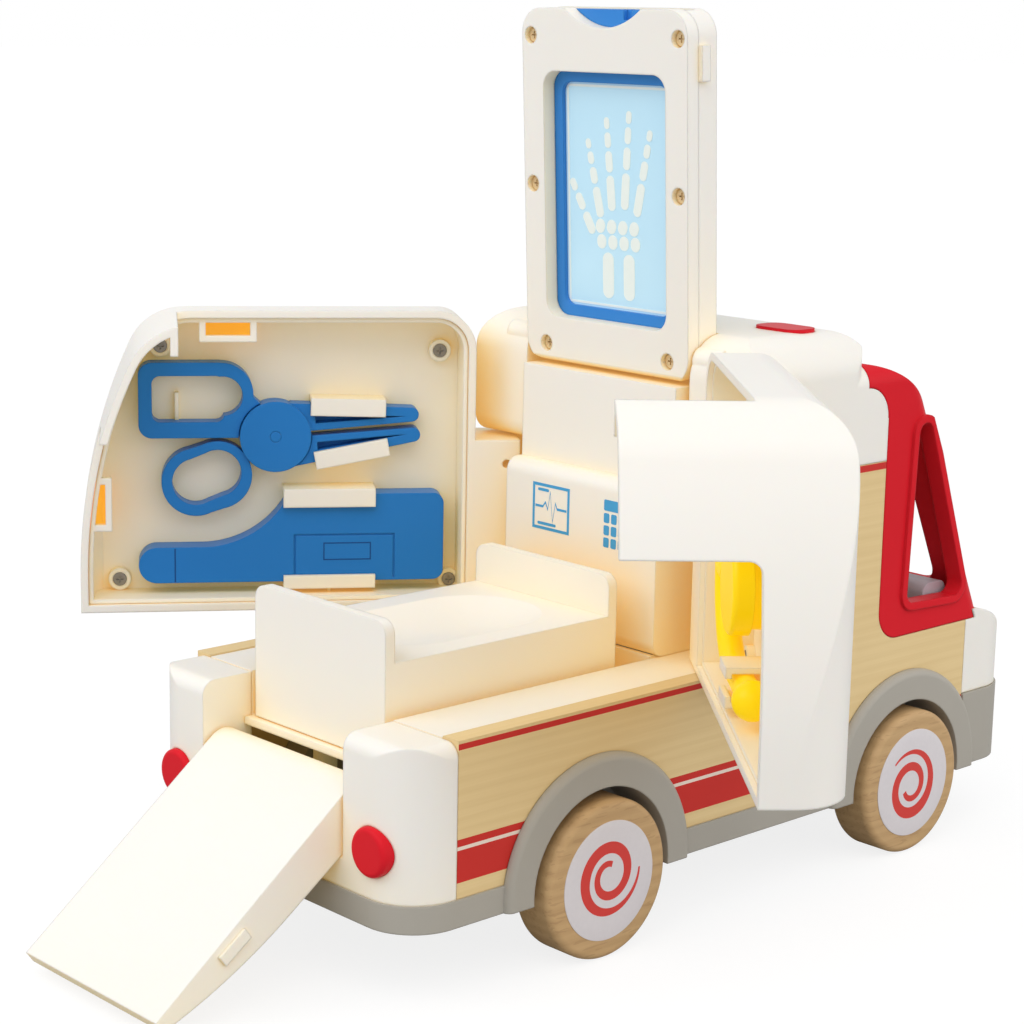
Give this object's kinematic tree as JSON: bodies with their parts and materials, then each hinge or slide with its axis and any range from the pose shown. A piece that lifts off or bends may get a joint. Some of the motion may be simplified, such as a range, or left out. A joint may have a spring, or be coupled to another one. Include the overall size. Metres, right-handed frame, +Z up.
{
  "type": "toy ambulance",
  "caption": "Toy ambulance with wooden side panels, swinging tray doors with doctor's tools, roof hatch with slide-in X-ray, folding rear ramp and sliding stretcher.",
  "frame": {"origin": "middle of the chassis underside, halfway between the axles", "axes": "+X to the nose, +Y to the left side, +Z up"},
  "size_m": [0.385, 0.3368, 0.3097],
  "materials": {
    "cream_plastic": "satin warm cream",
    "red_plastic": "satin red",
    "grey_plastic": "satin mid grey",
    "lilac_plastic": "satin grey lilac",
    "blue_plastic": "satin blue",
    "yellow_plastic": "satin yellow",
    "lamp_plastic": "glossy white",
    "film": "clear pale blue",
    "panel_wood": "clear lacquered, printed stripes",
    "wheel_wood": "clear lacquered, printed disc",
    "steel": "zinc plated"
  },
  "bodies": {
    "body": {"chassis": "grey_plastic", "chassis_screws": "steel", "rear_corner_posts": "cream_plastic", "interior_tub": "cream_plastic", "left_side_panel": "panel_wood", "right_side_panel": "panel_wood", "roof_cap": "cream_plastic", "roof_beacons": "red_plastic", "bulkhead": "cream_plastic", "cab_frame": "red_plastic", "cab_tray": "lilac_plastic", "nose_cover": "cream_plastic", "tail_lamps": "red_plastic", "head_lamps": "lamp_plastic", "left_door_pin": "steel", "right_door_pin": "steel", "hatch_pin": "steel", "ramp_pin": "steel"},
    "front_wheels": {"front_axle": "steel", "front_left_wheel": "wheel_wood", "front_right_wheel": "wheel_wood"},
    "rear_wheels": {"rear_axle": "steel", "rear_left_wheel": "wheel_wood", "rear_right_wheel": "wheel_wood"},
    "left_door": {"left_door_shell": "cream_plastic", "left_door_liner": "cream_plastic", "left_door_screws": "steel", "forceps_rear_half": "blue_plastic", "forceps_pivot": "blue_plastic", "thermometer": "blue_plastic"},
    "forceps_jaw": {"forceps_front_half": "blue_plastic"},
    "right_door": {"right_door_shell": "cream_plastic", "right_door_liner": "cream_plastic", "right_door_screws": "steel", "stethoscope_yoke": "yellow_plastic", "stethoscope_chestpiece": "yellow_plastic"},
    "hatch": {"hatch_cover": "cream_plastic", "hatch_frame": "cream_plastic", "hatch_screws": "steel"},
    "xray": {"xray_tray": "blue_plastic", "xray_film": "film"},
    "ramp": {"ramp_shell": "cream_plastic", "ramp_plate": "cream_plastic"},
    "stretcher": {"stretcher": "cream_plastic"}
  },
  "joints": [
    {"name": "front_axle_spin", "type": "hinge", "parent": "body", "child": "front_wheels", "pos_m": [0.0806, 0, 0.0024], "axis": [0, 1, 0], "continuous": true},
    {"name": "rear_axle_spin", "type": "hinge", "parent": "body", "child": "rear_wheels", "pos_m": [-0.0806, 0, 0.0024], "axis": [0, 1, 0], "continuous": true},
    {"name": "left_door_hinge", "type": "hinge", "parent": "body", "child": "left_door", "pos_m": [0, 0.0625, 0.093], "axis": [0, 0, -1], "range_deg": [-34.3, 57]},
    {"name": "right_door_hinge", "type": "hinge", "parent": "body", "child": "right_door", "pos_m": [0, -0.0625, 0.093], "axis": [0, 0, 1], "range_deg": [-49.8, 42]},
    {"name": "forceps_squeeze", "type": "hinge", "parent": "left_door", "child": "forceps_jaw", "pos_m": [-0.07878, 0.10813, 0.1256], "axis": [0.5635, 0.8261, 0], "range_deg": [0, 1.2]},
    {"name": "hatch_hinge", "type": "hinge", "parent": "body", "child": "hatch", "pos_m": [-0.0075, 0, 0.1655], "axis": [0, 1, 0], "range_deg": [-87, 3]},
    {"name": "xray_slide", "type": "slide", "parent": "hatch", "child": "xray", "axis": [-0.0523, 0, 0.9986], "range_m": [0, 0.07]},
    {"name": "ramp_hinge", "type": "hinge", "parent": "body", "child": "ramp", "pos_m": [-0.155, 0, 0.035], "axis": [0, -1, 0], "range_deg": [-126, 0]},
    {"name": "stretcher_slide", "type": "slide", "parent": "body", "child": "stretcher", "axis": [-1, 0, 0], "range_m": [0, 0.09]}
  ]
}
